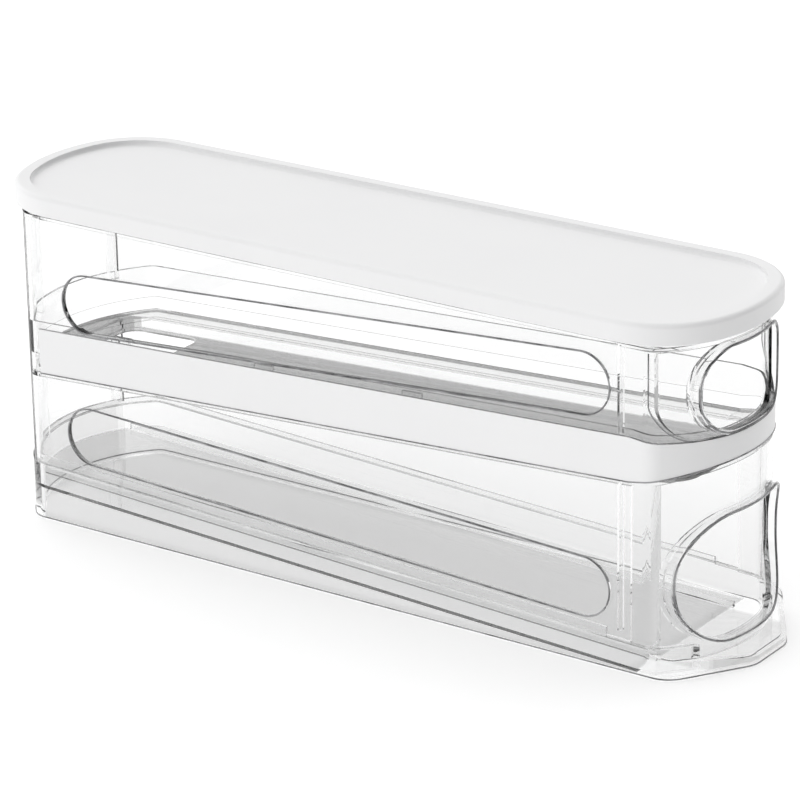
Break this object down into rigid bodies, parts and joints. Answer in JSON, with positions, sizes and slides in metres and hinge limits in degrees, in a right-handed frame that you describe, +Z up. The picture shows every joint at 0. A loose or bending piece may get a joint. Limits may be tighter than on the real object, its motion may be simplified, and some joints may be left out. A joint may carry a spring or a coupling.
{
  "type": "rolling egg dispenser",
  "caption": "Slim clear egg dispenser with stacked inclined lanes, a white lift-off lid, a white middle band and a scoop opening at the lower front.",
  "frame": {"origin": "centre of the bounding box at the table plane", "axes": "+X along the lanes to the front where eggs come out, +Y to the closed side wall, +Z up"},
  "size_m": [0.407, 0.1066, 0.1668],
  "materials": {
    "white_plastic": "satin white moulding",
    "clear_plastic": "clear polished moulding"
  },
  "bodies": {
    "tray": {"base_tray": "clear_plastic"},
    "lower_tier": {"lower_housing": "clear_plastic"},
    "upper_tier": {"middle_band": "white_plastic", "upper_housing": "clear_plastic", "upper_ramp": "clear_plastic"},
    "cover": {"lid": "white_plastic"}
  },
  "joints": [
    {"name": "lower_lift", "type": "slide", "parent": "tray", "child": "lower_tier", "axis": [0, 0, 1], "range_m": [0, 0.06]},
    {"name": "upper_lift", "type": "slide", "parent": "lower_tier", "child": "upper_tier", "axis": [0, 0, 1], "range_m": [0, 0.05]},
    {"name": "lid_lift", "type": "slide", "parent": "upper_tier", "child": "cover", "axis": [0, 0, 1], "range_m": [0, 0.04]}
  ]
}
